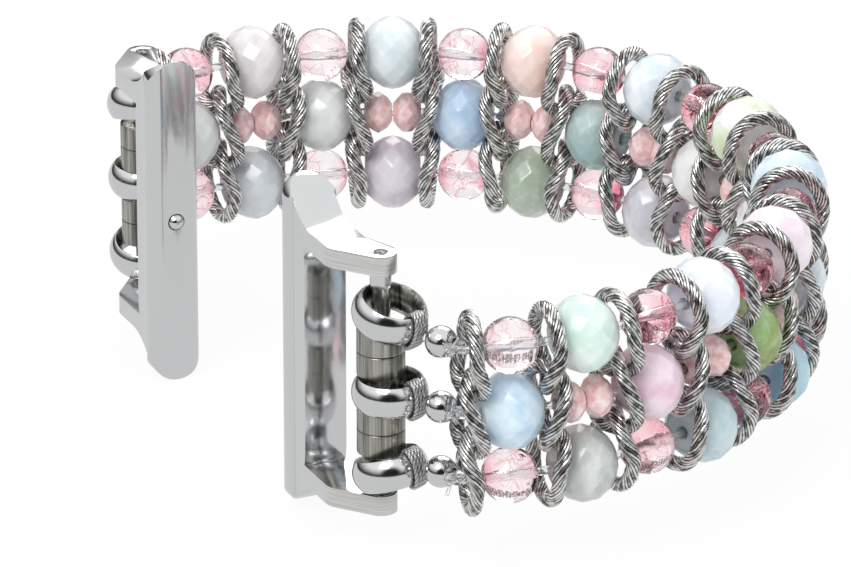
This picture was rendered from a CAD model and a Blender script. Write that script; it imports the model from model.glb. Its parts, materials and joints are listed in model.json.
# Natural stone watch band: how it looks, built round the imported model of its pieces
import bpy
import json
from math import acos, asin, atan2, cos, pi, radians, sin, sqrt
from mathutils import Matrix, Vector

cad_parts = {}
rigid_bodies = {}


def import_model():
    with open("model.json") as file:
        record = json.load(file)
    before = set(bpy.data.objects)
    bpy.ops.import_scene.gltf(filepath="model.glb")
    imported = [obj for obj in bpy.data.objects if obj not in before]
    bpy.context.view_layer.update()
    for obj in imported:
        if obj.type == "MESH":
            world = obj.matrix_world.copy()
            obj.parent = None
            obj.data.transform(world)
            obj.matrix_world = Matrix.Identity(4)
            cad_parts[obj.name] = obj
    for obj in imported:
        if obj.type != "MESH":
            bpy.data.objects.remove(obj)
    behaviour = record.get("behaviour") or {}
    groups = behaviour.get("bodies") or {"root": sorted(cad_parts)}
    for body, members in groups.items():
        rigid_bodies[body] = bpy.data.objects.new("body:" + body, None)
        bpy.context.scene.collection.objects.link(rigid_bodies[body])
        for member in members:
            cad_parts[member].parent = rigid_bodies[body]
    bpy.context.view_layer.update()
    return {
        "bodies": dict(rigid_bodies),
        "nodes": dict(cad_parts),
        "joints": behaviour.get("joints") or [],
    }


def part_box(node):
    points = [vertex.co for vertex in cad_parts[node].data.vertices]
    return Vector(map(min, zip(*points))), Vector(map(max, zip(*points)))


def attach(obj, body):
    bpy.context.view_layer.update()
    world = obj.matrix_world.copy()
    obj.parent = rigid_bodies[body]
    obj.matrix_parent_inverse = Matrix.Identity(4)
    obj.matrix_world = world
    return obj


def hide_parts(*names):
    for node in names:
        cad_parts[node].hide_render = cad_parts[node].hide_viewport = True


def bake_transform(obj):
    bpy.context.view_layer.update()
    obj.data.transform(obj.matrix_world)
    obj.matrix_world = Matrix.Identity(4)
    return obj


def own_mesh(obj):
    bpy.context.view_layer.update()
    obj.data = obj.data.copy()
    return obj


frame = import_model()
mm = 0.001
print("frame loaded:", len(frame["nodes"]), "nodes")


# Places that the frame gives

jointAt = {joint["name"]: Vector(joint["pos_m"]) for joint in frame["joints"] if "pos_m" in joint}
columns = sorted(name for name in frame["bodies"] if name.startswith("column_"))
gapPoints = [jointAt[name + "_bend"] for name in columns] + [jointAt["far_balls_swing"]]
middleZ = gapPoints[0].z
rowGap = 6.45 * mm


def middleOf(node):
    low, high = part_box(node)
    return (low + high) / 2


def circleCentreY(a, b):  # the centre of the loop is on X = 0
    return (a.x ** 2 + a.y ** 2 - b.x ** 2 - b.y ** 2) / (2 * (a.y - b.y))


loopCentre = Vector((0, circleCentreY(gapPoints[0], gapPoints[len(columns) // 2]), middleZ))


def placeFacing(point, forward):  # X points forward and Z up the width
    up = Vector((0, 0, 1))
    place = Matrix((forward, up.cross(forward), up)).transposed().to_4x4()
    place.translation = Vector((point.x, point.y, middleZ))
    return place


def placeAt(point):  # X points out of the loop and Y along the cords
    return placeFacing(point, (Vector((point.x, point.y, middleZ)) - loopCentre).normalized())


def placeAlong(point, towards):  # X points from one to the other
    return placeFacing(point, Vector((towards.x - point.x, towards.y - point.y, 0)).normalized())


def isWide(number):  # odd columns hold one large stone between two glass beads
    return number % 2 == 1


def mainNode(number):
    return "column_%02d_%s" % (number, "stone" if isWide(number) else "stones")


columnPlaces = {}
for number in range(1, len(columns) + 1):
    columnPlaces[number] = placeAt(middleOf(mainNode(number)))
gapPlaces = [placeAt(point) for point in gapPoints]


# At each end: the joint on the hinge bar, the joint at the cord loops and which gap the balls come before
jointsAtEnds = {"near": ("near_rings_swing", "near_balls_swing", 0),
                "far": ("far_connector_swing", "far_rings_swing", -1)}
ends = {}
for end, (barJoint, tieJoint, gap) in jointsAtEnds.items():
    bar, tie, ringMiddle = jointAt[barJoint], jointAt[tieJoint], middleOf(end + "_rings")
    barLift = Matrix.Translation((0, 0, middleOf(end + "_slider").z - middleZ))
    ends[end] = {"tubes": placeAlong(bar, tie), "bar": barLift @ placeAlong(bar, tie),
                 "rings": placeAlong(ringMiddle, tie), "balls": placeAlong(tie, gapPoints[gap]),
                 "ringReach": (tie - ringMiddle).xy.length, "ballReach": (gapPoints[gap] - tie).xy.length}


# Small modelling helpers

def objectMode():
    if bpy.context.mode != "OBJECT":
        bpy.ops.object.mode_set(mode="OBJECT")


def deselectAll():
    objectMode()
    bpy.ops.object.select_all(action="DESELECT")


def editOnly(piece, chosen=lambda vertex: False):  # enters edit mode with only the chosen vertices selected
    deselectAll()
    bpy.context.view_layer.objects.active = piece
    piece.select_set(True)
    mesh = piece.data
    bpy.ops.object.mode_set(mode="EDIT")
    bpy.ops.mesh.select_mode(type="VERT")
    bpy.ops.mesh.select_all(action="DESELECT")
    bpy.ops.object.mode_set(mode="OBJECT")
    for vertex in mesh.vertices:
        vertex.select = chosen(vertex)
    bpy.ops.object.mode_set(mode="EDIT")


def applyModifier(piece, kind, **settings):
    deselectAll()
    modifier = piece.modifiers.new(kind, kind)
    for name, value in settings.items():
        setattr(modifier, name, value)
    bpy.context.view_layer.objects.active = piece
    bpy.ops.object.modifier_apply(modifier=modifier.name)


def applyPlace(piece):
    deselectAll()
    bpy.context.view_layer.objects.active = piece
    piece.select_set(True)
    bpy.ops.object.transform_apply(location=True, rotation=True, scale=True)


def facesOutward(piece):
    editOnly(piece, lambda vertex: True)
    bpy.ops.mesh.normals_make_consistent(inside=False)
    objectMode()


def copyOf(source, place):
    piece = source.copy()
    piece.data = source.data.copy()
    bpy.context.scene.collection.objects.link(piece)
    piece.data.transform(place)
    if place.determinant() < 0:
        piece.data.flip_normals()
    return piece


def joinAll(pieces, name):
    deselectAll()
    for piece in pieces:
        piece.select_set(True)
    bpy.context.view_layer.objects.active = pieces[0]
    if len(pieces) > 1:
        bpy.ops.object.join()
    joined = bpy.context.view_layer.objects.active
    joined.name = name
    joined.data.name = name
    return joined


def removeAll(pieces):
    for piece in pieces:
        bpy.data.objects.remove(piece)


def fitPiece(piece, body, slot, *nodes):  # what it replaces, what it rides on and what it is made of
    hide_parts(*nodes)
    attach(piece, body)


# Materials

def linear(hexColor):  # sRGB hex to Blender's linear colour
    values = [int(hexColor[i:i + 2], 16) / 255 for i in (1, 3, 5)]
    return [v / 12.92 if v <= 0.04045 else ((v + 0.055) / 1.055) ** 2.4 for v in values] + [1]


def addNode(tree, kind, inputs={}, **settings):
    node = tree.nodes.new(kind)
    for name, value in settings.items():
        setattr(node, name, value)
    for name, value in inputs.items():
        if isinstance(value, bpy.types.NodeSocket):
            tree.links.new(value, node.inputs[name])
        else:
            node.inputs[name].default_value = value
    return node


def newMaterial(name):
    material = bpy.data.materials.new(name)
    material.use_nodes = True
    tree = material.node_tree
    shader = tree.nodes["Principled BSDF"]
    where = addNode(tree, "ShaderNodeTexCoord").outputs["Object"]
    return material, tree, shader, where


def setShader(tree, shader, **values):
    for name, value in values.items():
        socket = shader.inputs[name.replace("_", " ")]
        if isinstance(value, bpy.types.NodeSocket):
            tree.links.new(value, socket)
        else:
            socket.default_value = value


def mixColors(tree, share, first, second):
    mix = addNode(tree, "ShaderNodeMix", {"Factor": share}, data_type="RGBA")
    for socket, value in ((mix.inputs[6], first), (mix.inputs[7], second)):
        if isinstance(value, bpy.types.NodeSocket):
            tree.links.new(value, socket)
        else:
            socket.default_value = value
    return mix.outputs[2]


def ramp(tree, value, low, high):  # 0 below low and 1 above high
    limits = {"Value": value, "From Min": low, "From Max": high}
    return addNode(tree, "ShaderNodeMapRange", limits).outputs[0]


# Cast stainless steel, tumbled and buffed: near mirror with faint waves and hairlines
def polishedSteel():
    material, tree, shader, where = newMaterial("buffedStainlessSteel")
    hairline = addNode(tree, "ShaderNodeTexNoise", {"Vector": where, "Scale": 1 / (2.2 * mm), "Detail": 3})
    waves = addNode(tree, "ShaderNodeBump", {"Strength": 0.12, "Distance": 0.1 * mm,
                                             "Height": hairline.outputs[0]})
    rough = addNode(tree, "ShaderNodeMapRange", {"Value": hairline.outputs[0], "To Min": 0.09,
                                                 "To Max": 0.17})
    setShader(tree, shader, Base_Color=linear("#d9dadb"), Metallic=1.0, Roughness=rough.outputs[0],
              Normal=waves.outputs[0])
    return material


# Brushed stainless steel: satin, with lines that run one way, upright and deep on turned tubes,
# level and fine on the sides of the castings
def brushedSteel(name, stretch, spacing, depth, dark, bright):
    material, tree, shader, where = newMaterial(name)
    stretched = addNode(tree, "ShaderNodeMapping", {"Vector": where, "Scale": stretch})
    lines = addNode(tree, "ShaderNodeTexNoise", {"Vector": stretched.outputs[0],
                                                 "Scale": 1 / (spacing * mm), "Detail": 3, "Roughness": 0.7})
    color = mixColors(tree, ramp(tree, lines.outputs[0], 0.36, 0.64), linear(dark), linear(bright))
    bump = addNode(tree, "ShaderNodeBump", {"Strength": depth, "Distance": 0.02 * mm,
                                            "Height": lines.outputs[0]})
    setShader(tree, shader, Base_Color=color, Metallic=1.0, Roughness=0.28, Normal=bump.outputs[0])
    return material


# Stranded stainless wire, drawn bright: each wire mirrors, no two alike, with dark grooves between them
def strandedSteel():
    material, tree, shader, where = newMaterial("strandedStainlessWire")
    groove = addNode(tree, "ShaderNodeAttribute", attribute_name="groove").outputs["Fac"]
    shade = addNode(tree, "ShaderNodeAttribute", attribute_name="shade").outputs["Fac"]
    worn = addNode(tree, "ShaderNodeTexNoise", {"Vector": where, "Scale": 1 / (0.8 * mm), "Detail": 2})
    bright = addNode(tree, "ShaderNodeMath", {0: shade, 1: ramp(tree, worn.outputs[0], 0.35, 0.65)},
                     operation="ADD")
    wire = mixColors(tree, ramp(tree, bright.outputs[0], 0.35, 1.2), linear("#6c6a67"), linear("#f4f4f2"))
    color = mixColors(tree, ramp(tree, groove, 0.12, 0.62), wire, linear("#0c0b0b"))
    rough = addNode(tree, "ShaderNodeMapRange", {"Value": worn.outputs[0], "To Min": 0.12, "To Max": 0.38})
    setShader(tree, shader, Base_Color=color, Metallic=1.0, Roughness=rough.outputs[0])
    return material


# Translucent chalcedony and aquamarine, cut and polished: milky depth under a glassy skin
def polishedStone():
    material, tree, shader, where = newMaterial("polishedMilkyStone")
    tint = addNode(tree, "ShaderNodeAttribute", attribute_name="tint").outputs["Color"]
    veil = addNode(tree, "ShaderNodeAttribute", attribute_name="veil").outputs["Color"]
    clouds = addNode(tree, "ShaderNodeTexNoise", {"Vector": where, "Scale": 1 / (4.5 * mm), "Detail": 3,
                                                  "Distortion": 0.6})
    wisps = addNode(tree, "ShaderNodeTexNoise", {"Vector": where, "Scale": 1 / (1.3 * mm), "Detail": 4,
                                                 "Distortion": 1.5})
    body = mixColors(tree, ramp(tree, clouds.outputs[0], 0.42, 0.6), tint, veil)
    pale = addNode(tree, "ShaderNodeMath", {0: ramp(tree, wisps.outputs[0], 0.5, 0.75), 1: 0.25},
                   operation="MULTIPLY")
    color = mixColors(tree, pale.outputs[0], body, linear("#f6f7f6"))
    setShader(tree, shader, Base_Color=color, Roughness=0.22, IOR=1.54, Subsurface_Weight=0.7,
              Subsurface_Radius=(2.4 * mm, 2.4 * mm, 2.5 * mm), Subsurface_Scale=1.0, Coat_Weight=0.3,
              Coat_Roughness=0.1)
    return material


# Pressed glass, heated and quenched so that parts of it crack, with pink dye drawn in at the bore's mouths
def crackleGlass():
    material, tree, shader, where = newMaterial("dyedCrackleGlass")
    amount = addNode(tree, "ShaderNodeAttribute", attribute_name="dye").outputs["Fac"]
    mouth = addNode(tree, "ShaderNodeAttribute", attribute_name="mouth").outputs["Fac"]
    drift = addNode(tree, "ShaderNodeTexNoise", {"Vector": where, "Scale": 1 / (2.4 * mm), "Detail": 2})
    spread = addNode(tree, "ShaderNodeMath", {0: mouth, 1: drift.outputs[0]}, operation="ADD")
    stain = addNode(tree, "ShaderNodeMath", {0: ramp(tree, spread.outputs[0], 0.9, 1.45), 1: amount},
                    operation="MULTIPLY").outputs[0]
    cells = addNode(tree, "ShaderNodeTexVoronoi", {"Vector": where, "Scale": 1 / (1.3 * mm)},
                    feature="DISTANCE_TO_EDGE")
    line = addNode(tree, "ShaderNodeMapRange", {"Value": cells.outputs["Distance"], "From Min": 0.0,
                                                "From Max": 0.05, "To Min": 1.0, "To Max": 0.0}).outputs[0]
    cracked = addNode(tree, "ShaderNodeMath", {0: line, 1: ramp(tree, drift.outputs[0], 0.48, 0.58)},
                      operation="MULTIPLY").outputs[0]
    tinted = mixColors(tree, stain, linear("#fdf4f5"), linear("#ff7592"))
    deep = addNode(tree, "ShaderNodeMath", {0: ramp(tree, spread.outputs[0], 1.25, 1.6), 1: amount},
                   operation="MULTIPLY").outputs[0]
    tinted = mixColors(tree, deep, tinted, linear("#d8244f"))
    color = mixColors(tree, cracked, tinted, linear("#e07f93"))
    flakes = addNode(tree, "ShaderNodeTexVoronoi", {"Vector": where, "Scale": 1 / (0.55 * mm)})
    height = addNode(tree, "ShaderNodeMath", {0: flakes.outputs["Distance"],
                                              1: ramp(tree, drift.outputs[0], 0.5, 0.62)},
                     operation="MULTIPLY")
    bump = addNode(tree, "ShaderNodeBump", {"Strength": 0.6, "Distance": 0.12 * mm,
                                            "Height": height.outputs[0]})
    setShader(tree, shader, Base_Color=color, Roughness=0.02, IOR=1.46, Transmission_Weight=1.0,
              Normal=bump.outputs[0])
    return material


# Rose quartz, faceted and left slightly frosted
def roseStone():
    material, tree, shader, where = newMaterial("frostedRoseStone")
    grain = addNode(tree, "ShaderNodeTexNoise", {"Vector": where, "Scale": 1 / (0.7 * mm), "Detail": 4})
    color = mixColors(tree, ramp(tree, grain.outputs[0], 0.35, 0.65), linear("#ebb7b6"), linear("#fbe6e5"))
    bump = addNode(tree, "ShaderNodeBump", {"Strength": 0.3, "Distance": 0.05 * mm,
                                            "Height": grain.outputs[0]})
    setShader(tree, shader, Base_Color=color, Roughness=0.25, IOR=1.54, Subsurface_Weight=0.3,
              Subsurface_Radius=(1.4 * mm, 1.0 * mm, 1.0 * mm), Subsurface_Scale=1.0, Normal=bump.outputs[0])
    return material


# Clear elastic: soft plastic strands that catch light along their sides
def clearElastic():
    material, tree, shader, where = newMaterial("clearElasticStrand")
    haze = addNode(tree, "ShaderNodeTexNoise", {"Vector": where, "Scale": 1 / (0.5 * mm), "Detail": 2})
    color = mixColors(tree, haze.outputs[0], linear("#f2f4f5"), linear("#ffffff"))
    setShader(tree, shader, Base_Color=color, Roughness=0.1, IOR=1.4, Transmission_Weight=0.85)
    return material


# Metallic thread, plied: silver grey with darker turns
def metallicThread():
    material, tree, shader, where = newMaterial("pliedMetallicThread")
    groove = addNode(tree, "ShaderNodeAttribute", attribute_name="groove").outputs["Fac"]
    fuzz = addNode(tree, "ShaderNodeTexNoise", {"Vector": where, "Scale": 1 / (0.15 * mm), "Detail": 3})
    color = mixColors(tree, ramp(tree, groove, 0.2, 0.9), linear("#c2c1bf"), linear("#3b3a3b"))
    bump = addNode(tree, "ShaderNodeBump", {"Strength": 0.4, "Distance": 0.03 * mm,
                                            "Height": fuzz.outputs[0]})
    setShader(tree, shader, Base_Color=color, Metallic=0.75, Roughness=0.35, Normal=bump.outputs[0])
    return material


finishes = {"polished": polishedSteel(), "wire": strandedSteel(),
            "upright": brushedSteel("steelBrushedUpright", (1, 1, 0.02), 0.4, 0.25, "#5a5953", "#bdbcb4"),
            "level": brushedSteel("steelBrushedLevel", (0.01, 0.01, 1), 0.1, 0.05, "#c9c8c5", "#ecebe9"),
            "stone": polishedStone(), "glass": crackleGlass(), "rose": roseStone(),
            "elastic": clearElastic(), "thread": metallicThread()}
print("materials made:", len(finishes))


def giveFinish(piece, finish):
    piece.data.materials.clear()
    piece.data.materials.append(finishes[finish])


def giveColor(piece, name, hexColor):
    layer = piece.data.color_attributes.new(name, "FLOAT_COLOR", "POINT")
    layer.data.foreach_set("color", linear(hexColor) * len(piece.data.vertices))


def giveValue(piece, name, values):
    layer = piece.data.attributes.new(name, "FLOAT", "POINT")
    layer.data.foreach_set("value", values)


# Twisted wire, straight and then bent along a path; used for the links, the cord loops and the elastic

def twistedAlong(path, wires, thick, layLength, groove, rings, uneven=0.0):
    length = path.data.splines[0].calc_length()
    shades = [wire * 0.618 % 1 for wire in range(wires)]
    bpy.ops.mesh.primitive_circle_add(vertices=4 * wires, radius=thick / 2 * mm)
    rope = bpy.context.object
    editOnly(rope, lambda vertex: vertex.index % 4 == 0)
    bpy.ops.transform.resize(value=(1 - groove, 1 - groove, 1), center_override=(0, 0, 0))
    objectMode()
    for vertex in rope.data.vertices:
        vertex.co *= 1 - uneven * (1 - shades[vertex.index // 4])
    turns = round(length / mm / layLength * wires) / wires  # a whole number of wires, so that the ends meet
    applyModifier(rope, "SCREW", angle=turns * 2 * pi, screw_offset=length, steps=rings, render_steps=rings)
    giveValue(rope, "groove", [float(i % 4 == 0) for i in range(len(rope.data.vertices))])
    giveValue(rope, "shade", [shades[i // 4 % wires] for i in range(len(rope.data.vertices))])
    rope.rotation_euler = (0, pi / 2, 0)
    applyPlace(rope)
    applyModifier(rope, "CURVE", object=path, deform_axis="POS_X")
    editOnly(rope, lambda vertex: True)
    bpy.ops.mesh.remove_doubles(threshold=0.01 * mm)
    bpy.ops.mesh.normals_make_consistent(inside=False)
    objectMode()
    rope.select_set(True)
    bpy.ops.object.shade_smooth()
    bpy.data.objects.remove(path)
    return rope


def closedPath(corner, cuts):  # corner gives the place of a point from its angle
    bpy.ops.curve.primitive_bezier_circle_add(radius=mm)
    path = bpy.context.object
    bpy.ops.object.mode_set(mode="EDIT")
    bpy.ops.curve.select_all(action="SELECT")
    bpy.ops.curve.subdivide(number_cuts=cuts)
    objectMode()
    points = path.data.splines[0].bezier_points
    for point in points:
        point.co = Vector(corner(atan2(point.co.y, point.co.x))) * mm
    for point in points:
        point.handle_left_type = point.handle_right_type = "AUTO"
    path.data.twist_mode = "Z_UP"
    path.data.resolution_u = 16
    return path


# Rope links: six to each odd column, three on either side of its beads

ropeLink = {"wide": 7.85, "tall": 8.8, "thick": 1.45, "step": 5.65, "lift": 0.13, "shift": 0.05,
            "wires": 12, "layLength": 6.2, "groove": 0.28, "rings": 84, "uneven": 0.08}


def linkCorner(angle, row):  # an oval whose rope lifts to one side where the next link passes
    x = (ropeLink["wide"] - ropeLink["thick"]) / 2 * cos(angle)
    y = (ropeLink["tall"] - ropeLink["thick"]) / 2 * sin(angle)
    return x, y, 0 if row * y > 0 else -ropeLink["lift"] * x * y


def makeRopeLinks():
    standUp = Matrix.Rotation(pi / 2, 4, "X")
    sources = {}
    for row in (-1, 0, 1):
        path = closedPath(lambda angle: linkCorner(angle, row), 3)
        sources[row] = twistedAlong(path, ropeLink["wires"], ropeLink["thick"], ropeLink["layLength"],
                                    ropeLink["groove"], ropeLink["rings"], ropeLink["uneven"])
        giveFinish(sources[row], "wire")
    for number in range(1, len(columns) + 1):
        if not isWide(number):
            continue
        links = []
        for side, gap in ((-1, gapPlaces[number - 1]), (1, gapPlaces[number])):
            for row in (-1, 0, 1):
                shift = Matrix.Translation(Vector((0, side * ropeLink["shift"], row * ropeLink["step"])) * mm)
                mirror = Matrix.Diagonal((1, side, 1, 1))
                links.append(copyOf(sources[row], gap @ shift @ mirror @ standUp))
        piece = joinAll(links, "ropeLinks%02d" % number)
        fitPiece(piece, "column_%02d" % number, "rope_steel", "column_%02d_rope_links" % number)
    removeAll(sources.values())


makeRopeLinks()
print("rope links made")


# Faceted stones: rings of corners set half a facet apart, so that every facet is a flat diamond

largeStone = {"across": 7.5, "heights": (0, 0.9, 1.8, 2.5, 2.8), "facets": 10, "bore": 1.2, "edge": 0.15}
smallStone = {"across": 4.2, "heights": (0, 0.5, 1.0, 1.4), "facets": 8, "bore": 1.2, "edge": 0.08}


def facetRadii(shape):  # the radius of each ring that keeps the diamonds flat
    squeeze = cos(pi / shape["facets"])
    heights = shape["heights"]
    radii = [shape["across"] / 2, shape["across"] / 2 * squeeze]
    for k in range(2, len(heights)):
        slope = (radii[k - 1] * squeeze - radii[k - 2]) / (heights[k - 1] - heights[k - 2])
        radii.append(radii[k - 2] + slope * (heights[k] - heights[k - 2]))
    return radii


def makeFacetedBead(shape):
    heights, radii = shape["heights"], facetRadii(shape)
    top = len(heights) - 1
    segments, rings = 2 * shape["facets"], 2 * top + 2
    bpy.ops.mesh.primitive_uv_sphere_add(segments=segments, ring_count=rings, radius=1)
    bead = bpy.context.object
    editOnly(bead, lambda vertex: abs(vertex.co.z) > 0.9999)
    bpy.ops.mesh.delete(type="VERT")
    objectMode()
    corners = set()
    for vertex in bead.data.vertices:
        ring = round(acos(vertex.co.z) / pi * rings) - top - 1
        turn = round(atan2(vertex.co.y, vertex.co.x) / (2 * pi) * segments)
        angle = turn * 2 * pi / segments
        if (ring + turn) % 2 == 0:
            corners.add(vertex.index)
        radius = radii[abs(ring)]
        height = heights[abs(ring)] * (1 if ring < 0 else -1)
        vertex.co = Vector((radius * cos(angle), radius * sin(angle), height)) * mm
    editOnly(bead, lambda vertex: vertex.index in corners)
    bpy.ops.mesh.vert_connect()
    bpy.ops.mesh.select_all(action="INVERT")
    bpy.ops.mesh.dissolve_verts()
    endHeight = (heights[top] - 0.01) * mm
    for side in (-1, 1):  # a flat table at each end, with the mouth of the bore in it
        editOnly(bead, lambda vertex: vertex.co.z * side > endHeight)
        bpy.ops.mesh.edge_face_add()
        bpy.ops.mesh.inset(thickness=(radii[top] - shape["bore"] / 2) * cos(pi / shape["facets"]) * mm)
        bpy.ops.mesh.delete(type="ONLY_FACE")
    boreReach = (shape["bore"] / 2 + 0.1) * mm
    editOnly(bead, lambda vertex: vertex.co.xy.length < boreReach)
    bpy.ops.mesh.bridge_edge_loops()
    objectMode()
    facesOutward(bead)
    applyModifier(bead, "BEVEL", width=shape["edge"] * mm, segments=2, limit_method="ANGLE",
                  angle_limit=radians(4))
    deselectAll()
    bead.select_set(True)
    bpy.ops.object.shade_smooth_by_angle(angle=radians(8))
    bead.data.transform(Matrix.Rotation(-pi / 2, 4, "X"))  # the bore runs along Y
    return bead


stoneColors = {  # bottom, middle and top stone of each column: its colour and the colour of its cloudy veil
    1: {0: ("#b9d2e4", "#d5e4ee")},
    2: {-1: ("#bbc0bd", "#d1d5d2"), 1: ("#cfe6dc", "#e2efe9")},
    3: {0: ("#e3c3d3", "#efdbe6")},
    4: {-1: ("#b6ced3", "#cfdee1"), 1: ("#dfe7f6", "#eef2fa")},
    5: {0: ("#a9c78b", "#8a9a58")},
    6: {-1: ("#9cc6dc", "#bcd9e6"), 1: ("#ecdbe6", "#f4eaf1")},
    7: {0: ("#c9d4e0", "#dde4ea")},
    8: {-1: ("#d6cfd6", "#e6e2e6"), 1: ("#cfe1ec", "#e2edf3")},
    9: {0: ("#dcd9dc", "#ecebec")},
    10: {-1: ("#c4cdd0", "#dbe1e2"), 1: ("#f1f3ef", "#cfdcae")},
    11: {0: ("#dcdcda", "#e9e9e8")},
    12: {-1: ("#c9c7cf", "#dcdbe1"), 1: ("#d3e1e9", "#e8eff3")},
    13: {0: ("#9db6b6", "#b9cbca")},
    14: {-1: ("#a9b7a6", "#c2ccbf"), 1: ("#efd3c9", "#f5e6e0")},
    15: {0: ("#b0c9e3", "#cbdcec")},
    16: {-1: ("#c6bfca", "#dad5dd"), 1: ("#d3dfe3", "#e8eef0")},
    17: {0: ("#cfd4d2", "#e0e3e1")},
    18: {-1: ("#c7cfd4", "#dde2e5"), 1: ("#dad6d7", "#eae7e8")},
    19: {0: ("#dfe4e2", "#eef1f0")},
}
smallMiddle = 1.45 * mm


def makeStones():
    large, small = makeFacetedBead(largeStone), makeFacetedBead(smallStone)
    giveFinish(large, "stone")
    giveFinish(small, "rose")
    for number, place in columnPlaces.items():
        stones = []
        for row, (tint, veil) in stoneColors[number].items():
            turned = Matrix.Rotation(0.7 * number + 1.9 * row, 4, "Y")  # no two lie the same way round
            stone = copyOf(large, place @ Matrix.Translation((0, 0, row * rowGap)) @ turned)
            giveColor(stone, "tint", tint)
            giveColor(stone, "veil", veil)
            stones.append(stone)
        piece = joinAll(stones, "stones%02d" % number)
        fitPiece(piece, "column_%02d" % number, "stone", mainNode(number))
        if isWide(number):
            continue
        pair = [copyOf(small, place @ Matrix.Translation((0, side * smallMiddle, 0))
                       @ Matrix.Rotation(0.4 * number + side, 4, "Y")) for side in (-1, 1)]
        piece = joinAll(pair, "roseStones%02d" % number)
        fitPiece(piece, "column_%02d" % number, "stone", mainNode(number))
    removeAll([large, small])


makeStones()
print("stones made")


# Glass beads: round, cut flat at both ends, with a clear bore

glassBead = {"across": 5.3, "long": 4.9, "bore": 1.2, "edge": 0.12}
dyeAmounts = {  # how strongly the top and the bottom bead of each column are dyed
    1: (0.2, 0.5), 3: (1.0, 0.6), 5: (0.8, 0.7), 7: (0.9, 0.8), 9: (0.6, 0.7), 11: (0.8, 0.7),
    13: (1.0, 1.0), 15: (0.6, 0.6), 17: (0.35, 0.5), 19: (0.6, 0.6),
}


def makeRoundBead(shape, segments):
    bpy.ops.mesh.primitive_uv_sphere_add(segments=segments, ring_count=segments // 2,
                                         radius=shape["across"] / 2 * mm)
    bead = bpy.context.object
    for side in (-1, 1):
        editOnly(bead, lambda vertex: True)
        bpy.ops.mesh.bisect(plane_co=(0, 0, side * shape["long"] / 2 * mm), plane_no=(0, 0, side),
                            clear_outer=True, use_fill=True)
        bpy.ops.mesh.select_all(action="DESELECT")
        objectMode()
        level = shape["long"] / 2 * mm
        mouth = sqrt(shape["across"] ** 2 - shape["long"] ** 2) / 2
        editOnly(bead, lambda vertex: vertex.co.z * side > level - 0.001 * mm)
        bpy.ops.mesh.inset(thickness=(mouth - shape["bore"] / 2) * mm)
        bpy.ops.mesh.delete(type="ONLY_FACE")
    reach = (shape["bore"] / 2 + 0.02) * mm
    editOnly(bead, lambda vertex: vertex.co.xy.length < reach)
    bpy.ops.mesh.bridge_edge_loops()
    objectMode()
    facesOutward(bead)
    bead.select_set(True)
    bpy.ops.object.shade_smooth_by_angle(angle=radians(40))
    bead.data.transform(Matrix.Rotation(pi / 2, 4, "X"))
    return bead


def makeGlassBeads():
    bead = makeRoundBead(glassBead, 48)
    giveFinish(bead, "glass")
    reach = glassBead["long"] / 2 * mm
    giveValue(bead, "mouth", [abs(vertex.co.y) / reach for vertex in bead.data.vertices])
    for number, place in columnPlaces.items():
        if not isWide(number):
            continue
        pair = []
        for row in (-1, 1):
            turned = Matrix.Rotation(1.3 * number + row, 4, "Y")
            glass = copyOf(bead, place @ Matrix.Translation((0, 0, row * rowGap)) @ turned)
            amount = dyeAmounts[number][row < 0]
            giveValue(glass, "dye", [amount] * len(glass.data.vertices))
            pair.append(glass)
        piece = joinAll(pair, "glassBeads%02d" % number)
        fitPiece(piece, "column_%02d" % number, "crackle_glass", "column_%02d_glass_beads" % number)
    removeAll([bead])


makeGlassBeads()
print("glass beads made")


# Turned steel pieces: a closed outline of (radius, height) corners in mm, swept round Z

def turnedPiece(outline, steps, edge):
    bpy.ops.mesh.primitive_circle_add(vertices=len(outline), radius=mm)
    piece = bpy.context.object
    for vertex, (radius, height) in zip(piece.data.vertices, outline):
        vertex.co = (radius * mm, 0, height * mm)
    applyModifier(piece, "SCREW", angle=2 * pi, steps=steps, render_steps=steps)
    editOnly(piece, lambda vertex: True)
    bpy.ops.mesh.remove_doubles(threshold=0.0005 * mm)
    bpy.ops.mesh.delete_loose()
    bpy.ops.mesh.select_all(action="SELECT")
    bpy.ops.mesh.normals_make_consistent(inside=False)
    objectMode()
    if edge:
        applyModifier(piece, "BEVEL", width=edge * mm, segments=3, limit_method="ANGLE",
                      angle_limit=radians(40))
    piece.select_set(True)
    bpy.ops.object.shade_smooth_by_angle(angle=radians(35))
    return piece


def placeTurned(source, places, name, node, body, slot):
    piece = joinAll([copyOf(source, place) for place in places], name)
    fitPiece(piece, body, slot, node)


domedRing = {"across": 7.2, "bore": 4.5, "wide": 3.0, "dome": 2.1, "rim": 0.04, "step": 7.75,
             "corners": 44, "steps": 96}
spacerTube = {"across": 4.5, "bore": 1.9, "long": 2.3, "step": 2.35, "edge": 0.1}
polishedBall = {"across": 3.0, "bore": 1.2, "beyondTie": 1.6, "edge": 0.06}
hingeBar = {"corners": ((0, -12.55), (0.6, -12.55), (0.6, -10.95), (1, -10.95), (1, -10.65), (0.9, -10.65),
                        (0.9, 9.45), (1, 9.45), (1, 10.95), (0.6, 10.95), (0.6, 12.55), (0, 12.55)),
            "edge": 0.04}


def ringOutline():  # two domes back to back, with a fine rounded rim where they meet
    corners = []
    for k in range(domedRing["corners"]):
        angle = 2 * pi * k / domedRing["corners"]
        height = domedRing["wide"] / 2 * sin(angle)
        dip = domedRing["dome"] - sqrt(domedRing["dome"] ** 2 - height ** 2)
        half = (domedRing["across"] - domedRing["bore"]) / 4 - dip
        side = cos(angle) / (abs(cos(angle)) + domedRing["rim"])
        corners.append(((domedRing["across"] + domedRing["bore"]) / 4 + half * side, height))
    return corners


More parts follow.
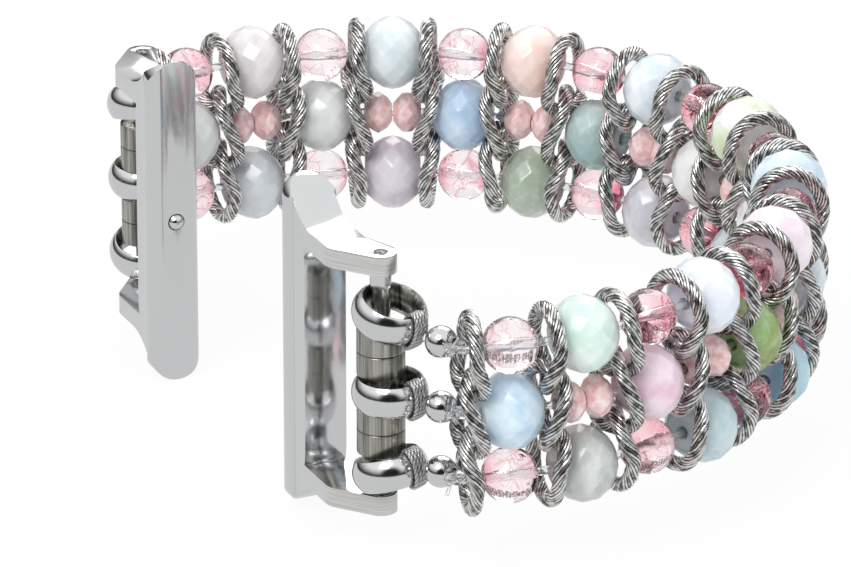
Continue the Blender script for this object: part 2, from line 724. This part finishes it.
def ringPlace(place, row):  # the outer rings tilt, so that their cords lead straight to the beads
    tilt = asin((domedRing["step"] * mm - rowGap) / place["ringReach"])
    return (place["rings"] @ Matrix.Translation((0, 0, row * domedRing["step"] * mm))
            @ Matrix.Rotation(row * tilt, 4, "Y"))


def makeHingeParts():
    ring = turnedPiece(ringOutline(), domedRing["steps"], 0)
    for finish in ("polished", "upright"):
        ring.data.materials.append(finishes[finish])
    for face in ring.data.polygons:
        if face.center.xy.dot(face.normal.xy) < 0:
            face.material_index = 1
    half, inner, outer = spacerTube["long"] / 2, spacerTube["bore"] / 2, spacerTube["across"] / 2
    tube = turnedPiece(((inner, -half), (outer, -half), (outer, half), (inner, half)), 64, spacerTube["edge"])
    giveFinish(tube, "upright")
    radius, hole = polishedBall["across"] / 2, polishedBall["bore"] / 2
    reach = acos(hole / radius)
    arc = [(radius * cos(a), radius * sin(a)) for a in [reach * (k / 12 - 1) for k in range(25)]]
    ball = turnedPiece(arc, 48, polishedBall["edge"])
    giveFinish(ball, "polished")
    bar = turnedPiece(hingeBar["corners"], 48, hingeBar["edge"])
    giveFinish(bar, "polished")
    for end, place in ends.items():
        rings = [ringPlace(place, row) for row in (-1, 0, 1)]
        heights = [(side * domedRing["step"] + part * spacerTube["step"]) / 2 * mm
                   for side in (-1, 1) for part in (-1, 1)]
        tubes = [place["tubes"] @ Matrix.Translation((0, 0, height)) for height in heights]
        balls = [place["balls"] @ Matrix.Translation((polishedBall["beyondTie"] * mm, 0, row * rowGap))
                 @ Matrix.Rotation(pi / 2, 4, "Y") for row in (-1, 0, 1)]
        placeTurned(ring, rings, end + "DomedRings", end + "_rings", end + "_rings", "polished_steel")
        placeTurned(tube, tubes, end + "SpacerTubes", end + "_spacer_tubes", end + "_tubes", "brushed_steel")
        placeTurned(ball, balls, end + "PolishedBalls", end + "_balls", end + "_balls", "polished_steel")
        placeTurned(bar, [place["bar"]], end + "HingeBar", end + "_hinge_bar", end + "_connector",
                    "polished_steel")
    removeAll([ring, tube, ball, bar])


makeHingeParts()
print("hinge parts made")


# Cord loops: several turns of twisted thread round the outer side of each ring

cordLoop = {"thick": 0.42, "wires": 3, "layLength": 1.5, "groove": 0.3, "rings": 40, "room": 0.06,
            "fan": (-10, -3.5, 3.5, 10)}


def loopCorner(angle):  # an oval close round the section of a ring
    room = cordLoop["room"] + cordLoop["thick"] / 2
    x = ((domedRing["across"] - domedRing["bore"]) / 4 + room) * cos(angle)
    y = (domedRing["wide"] / 2 + room) * sin(angle)
    return x + (domedRing["across"] + domedRing["bore"]) / 4, y, 0


def makeCordLoops():
    path = closedPath(loopCorner, 2)
    source = twistedAlong(path, cordLoop["wires"], cordLoop["thick"], cordLoop["layLength"],
                          cordLoop["groove"], cordLoop["rings"])
    giveFinish(source, "thread")
    for end, place in ends.items():
        loops = [ringPlace(place, row) @ Matrix.Rotation(radians(degrees), 4, "Z")
                 @ Matrix.Rotation(pi / 2, 4, "X") for row in (-1, 0, 1) for degrees in cordLoop["fan"]]
        placeTurned(source, loops, end + "CordLoops", end + "_cord_loops", end + "_rings", "cord")
    removeAll([source])


makeCordLoops()
print("cord loops made")


# Elastic: three clear strands side by side, cut where the bodies meet so that each stretch can bend

cordNodes = ("elastic_cord_bottom", "elastic_cord_middle", "elastic_cord_top")
elastic = {"thick": 0.8, "wires": 3, "layLength": 9.0, "groove": 0.3, "inside": 5.7, "across": 2.5,
           "outward": 0.3, "pastTie": 0.15, "intoBall": 0.1, "bend": 0.8}


def straightPath(length):
    bpy.ops.curve.primitive_bezier_curve_add(radius=mm)
    path = bpy.context.object
    for point, at in zip(path.data.splines[0].bezier_points, (-0.5, 0.5)):
        point.co = (0, at * length * mm, 0)
        point.handle_left_type = point.handle_right_type = "VECTOR"
    path.data.twist_mode = "Z_UP"
    return path


def strandsOf(length, rings):
    strands = twistedAlong(straightPath(length), elastic["wires"], elastic["thick"], elastic["layLength"],
                           elastic["groove"], rings)
    giveFinish(strands, "elastic")
    return strands


def threadPiece(place, source, name):
    piece = joinAll([copyOf(source, place @ Matrix.Translation((0, 0, row * rowGap)))
                     for row in (-1, 0, 1)], name)
    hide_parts(*cordNodes)
    return piece


def bentOver(piece):  # follows one body and then the other, and bends near the joint only
    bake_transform(piece)


def makeElastic():
    inside, across = strandsOf(elastic["inside"], 6), strandsOf(elastic["across"], 8)
    outward = Matrix.Translation((elastic["outward"] * mm, 0, 0))
    for number, place in columnPlaces.items():
        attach(threadPiece(place, inside, "elasticInside%02d" % number), "column_%02d" % number)
    for number in range(1, len(columns)):
        piece = threadPiece(gapPlaces[number] @ outward, across, "elasticBetween%02d" % number)
        bentOver(piece)
    bentOver(threadPiece(gapPlaces[0] @ outward, across, "elasticNearEnd"))
    bentOver(threadPiece(gapPlaces[-1] @ outward, across, "elasticFarEnd"))
    for end, place in ends.items():
        first, last = -elastic["pastTie"], place["ballReach"] / mm - elastic["bend"]
        through = strandsOf(last - first, 6)
        half = Matrix.Translation(((first + last) / 2 * mm, 0, 0)) @ Matrix.Rotation(-pi / 2, 4, "Z")
        piece = threadPiece(place["balls"] @ half, through, end + "ElasticInBalls")
        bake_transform(piece)
        removeAll([through])
    removeAll([inside, across])


makeElastic()
print("elastic made")


# Knots: the elastic is tied off beside each ball, on the outer side

knot = {"thick": 0.36, "wide": 0.5, "loose": 0.08, "deep": 1.4, "tail": 1.5, "tailTurns": (-50, 65),
        "along": 3.35, "outward": 1.25}


def knotCorner(angle):  # a trefoil
    share = (knot["wide"] - knot["thick"] / 2) / 3 + knot["loose"]
    return (share * (sin(angle) + 2 * sin(2 * angle)), share * (cos(angle) - 2 * cos(2 * angle)),
            -knot["deep"] * share * sin(3 * angle))


def asStrand(path):
    deselectAll()
    path.data.bevel_depth = knot["thick"] / 2 * mm
    path.data.bevel_resolution = 2
    path.data.resolution_u = 6
    path.data.use_fill_caps = True
    path.select_set(True)
    bpy.context.view_layer.objects.active = path
    bpy.ops.object.convert(target="MESH")
    return bpy.context.object


def makeKnots():
    strands = [asStrand(closedPath(knotCorner, 3))]
    for turn in knot["tailTurns"]:
        tail = asStrand(straightPath(knot["tail"]))
        outOfKnot = Matrix.Translation((0, knot["tail"] / 2 * mm, 0))
        tail.data.transform(Matrix.Rotation(radians(turn), 4, "X") @ outOfKnot)
        strands.append(tail)
    source = joinAll(strands, "knot")
    giveFinish(source, "elastic")
    source.select_set(True)
    bpy.ops.object.shade_smooth_by_angle(angle=radians(50))
    for end, outward in (("near", -1), ("far", 1)):
        knots = [copyOf(source, ends[end]["balls"] @ Matrix.Translation(
            (knot["along"] * mm, outward * knot["outward"] * mm, row * rowGap))
            @ Matrix.Rotation(1.3 * row, 4, "X")) for row in (-1, 0, 1)]
        piece = joinAll(knots, end + "ElasticKnots")
        fitPiece(piece, end + "_balls", "elastic", *cordNodes)
    removeAll([source])


makeKnots()
print("knots made")


# Sliders: castings with eased edges, buffed all over but for the sides of the ears and of the neck

castSlider = {"edge": 0.16, "earLevel": 10.9}


def makeSliders():
    for end in ends:
        mesh = frame["nodes"][end + "_slider"].data.copy()
        slider = bpy.data.objects.new(end + "CastSlider", mesh)
        bpy.context.scene.collection.objects.link(slider)
        editOnly(slider, lambda vertex: True)
        bpy.ops.mesh.remove_doubles(threshold=0.002 * mm)
        bpy.ops.mesh.dissolve_limited(angle_limit=radians(0.3))
        objectMode()
        applyModifier(slider, "BEVEL", width=castSlider["edge"] * mm, segments=3, limit_method="ANGLE",
                      angle_limit=radians(38))
        slider.select_set(True)
        bpy.ops.object.shade_smooth_by_angle(angle=radians(30))
        mesh.materials.clear()
        for finish in ("polished", "level"):
            mesh.materials.append(finishes[finish])
        level = middleOf(end + "_slider").z
        for face in mesh.polygons:
            onEar = abs(face.center.z - level) > castSlider["earLevel"] * mm
            upright = abs(face.normal.z) < 0.25
            face.material_index = int(upright and onEar)
        fitPiece(slider, end + "_connector", "polished_steel", end + "_slider")


makeSliders()
print("sliders made")


# Catch springs: a coil of round wire behind each catch, which shortens as the catch is pressed in

catchCoil = {"wire": 0.25, "across": 2.3, "turns": 4, "fixedEnd": 18.3, "pressedShare": 0.68}


def makeCatchCoils():
    radius = (catchCoil["across"] - catchCoil["wire"]) / 2
    for end, side in (("near", 1), ("far", -1)):
        low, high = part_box(end + "_catch_spring")
        rise = high.x - low.x - catchCoil["wire"] * mm
        bpy.ops.mesh.primitive_circle_add(vertices=10, radius=catchCoil["wire"] / 2 * mm,
                                          rotation=(pi / 2, 0, 0), location=(radius * mm, 0, -rise / 2))
        coil = bpy.context.object
        coil.name = end + "CatchCoil"
        applyPlace(coil)
        steps = 20 * catchCoil["turns"]
        applyModifier(coil, "SCREW", angle=catchCoil["turns"] * 2 * pi, screw_offset=rise, steps=steps,
                      render_steps=steps)
        editOnly(coil, lambda vertex: True)
        bpy.ops.mesh.fill_holes(sides=0)
        objectMode()
        coil.data.transform(Matrix.Translation((low + high) / 2) @ Matrix.Rotation(pi / 2, 4, "Y"))
        facesOutward(coil)
        coil.select_set(True)
        bpy.ops.object.shade_smooth_by_angle(angle=radians(50))
        giveFinish(coil, "upright")
        fitPiece(coil, end + "_connector", "polished_steel", end + "_catch_spring")
        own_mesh(coil)


makeCatchCoils()
print("catch springs made")


# The catches keep their shape and get their finish
for end in ends:
    giveFinish(frame["nodes"][end + "_catch"], "polished")


# Floor, light and camera

studio = {"floorSize": 4.0, "floorWhite": 0.93, "floorMirrored": 0.75, "worldLevel": 0.85,
          "horizon": "#3d3b3a", "horizonRise": (0.12, 0.5),
          "behindCamera": "#1a1a1b", "behindEdge": (0.8, 0.93)}
lamps = {"keyLamp": {"place": (0.25, -0.35, 0.55), "size": 0.3, "power": 2.2},
         "fillLamp": {"place": (-0.4, 0.3, 0.4), "size": 0.4, "power": 1.2}}
view = {"target": (7.2 * mm, -11.4 * mm, 15.8 * mm), "heading": 155.2, "elevation": 22.8,
        "distance": 0.701, "lens": 313}


def mirroredOnly(tree, seen):  # a ray that glass lets through counts as glossy too, so it is taken away
    return addNode(tree, "ShaderNodeMath", {0: seen.outputs["Is Glossy Ray"],
                                            1: seen.outputs["Is Transmission Ray"]},
                   operation="SUBTRACT", use_clamp=True).outputs[0]


def makeFloor():
    bpy.ops.mesh.primitive_plane_add(size=studio["floorSize"], location=(0, 0, -0.02 * mm))
    floor = bpy.context.object
    floor.name = "paleFloor"
    applyPlace(floor)
    material, tree, shader, where = newMaterial("paleMattFloor")
    setShader(tree, shader, Base_Color=linear("#f2f2f1"), Roughness=0.9)
    seen = addNode(tree, "ShaderNodeLightPath")
    direct = addNode(tree, "ShaderNodeMath", {0: seen.outputs["Is Camera Ray"],
                                              1: seen.outputs["Is Glossy Ray"]}, operation="MAXIMUM")
    through = addNode(tree, "ShaderNodeMath", {0: direct.outputs[0], 1: seen.outputs["Is Transmission Ray"]},
                      operation="MAXIMUM")
    share = addNode(tree, "ShaderNodeMath", {0: through.outputs[0], 1: studio["floorWhite"]},
                    operation="MULTIPLY")
    level = addNode(tree, "ShaderNodeMapRange", {"Value": mirroredOnly(tree, seen), "To Min": 1.0,
                                                 "To Max": studio["floorMirrored"]})
    white = addNode(tree, "ShaderNodeEmission", {"Color": (1, 1, 1, 1), "Strength": level.outputs[0]})
    mix = addNode(tree, "ShaderNodeMixShader", {0: share.outputs[0], 1: shader.outputs[0],
                                                2: white.outputs[0]})
    tree.links.new(mix.outputs[0], tree.nodes["Material Output"].inputs["Surface"])
    floor.data.materials.append(material)


def makeWorld():  # what steel mirrors is a dark horizon under a white sky, all else sees a plain pale world
    world = bpy.data.worlds.new("studio")
    bpy.context.scene.world = world
    world.use_nodes = True
    tree = world.node_tree
    background = tree.nodes["Background"]
    seen = addNode(tree, "ShaderNodeLightPath")
    direction = addNode(tree, "ShaderNodeTexCoord").outputs["Generated"]
    toCamera = Vector((-cos(radians(view["heading"])), -sin(radians(view["heading"])), 0.25)).normalized()
    facing = addNode(tree, "ShaderNodeVectorMath", {0: direction, 1: toCamera}, operation="DOT_PRODUCT")
    height = addNode(tree, "ShaderNodeSeparateXYZ", {0: direction}).outputs["Z"]
    dome = mixColors(tree, ramp(tree, height, *studio["horizonRise"]), linear(studio["horizon"]),
                     linear("#ffffff"))
    patch = ramp(tree, facing.outputs["Value"], *studio["behindEdge"])
    tent = mixColors(tree, patch, dome, linear(studio["behindCamera"]))
    plain = mixColors(tree, mirroredOnly(tree, seen), linear("#f4f5f7"), tent)
    strength = addNode(tree, "ShaderNodeMapRange", {"Value": seen.outputs["Is Diffuse Ray"],
                                                    "To Min": 1.0, "To Max": studio["worldLevel"]})
    tree.links.new(plain, background.inputs["Color"])
    tree.links.new(strength.outputs[0], background.inputs["Strength"])


def addLamp(name, place, size, power):
    lamp = bpy.data.objects.new(name, bpy.data.lights.new(name, "AREA"))
    bpy.context.scene.collection.objects.link(lamp)
    lamp.data.size = size
    lamp.data.energy = power
    lamp.location = place
    lamp.rotation_euler = (Vector(view["target"]) - lamp.location).to_track_quat("-Z", "Y").to_euler()


def makeCamera():
    heading, elevation = radians(view["heading"]), radians(view["elevation"])
    forward = Vector((cos(elevation) * cos(heading), cos(elevation) * sin(heading), -sin(elevation)))
    camera = bpy.data.objects.new("camera", bpy.data.cameras.new("camera"))
    bpy.context.scene.collection.objects.link(camera)
    camera.location = Vector(view["target"]) - forward * view["distance"]
    camera.rotation_euler = forward.to_track_quat("-Z", "Y").to_euler()
    camera.data.lens = view["lens"]
    camera.data.clip_start = 0.01
    bpy.context.scene.camera = camera


makeFloor()
makeWorld()
for name, lamp in lamps.items():
    addLamp(name, lamp["place"], lamp["size"], lamp["power"])
makeCamera()
bpy.context.scene.view_settings.view_transform = "Standard"
print("stage set")
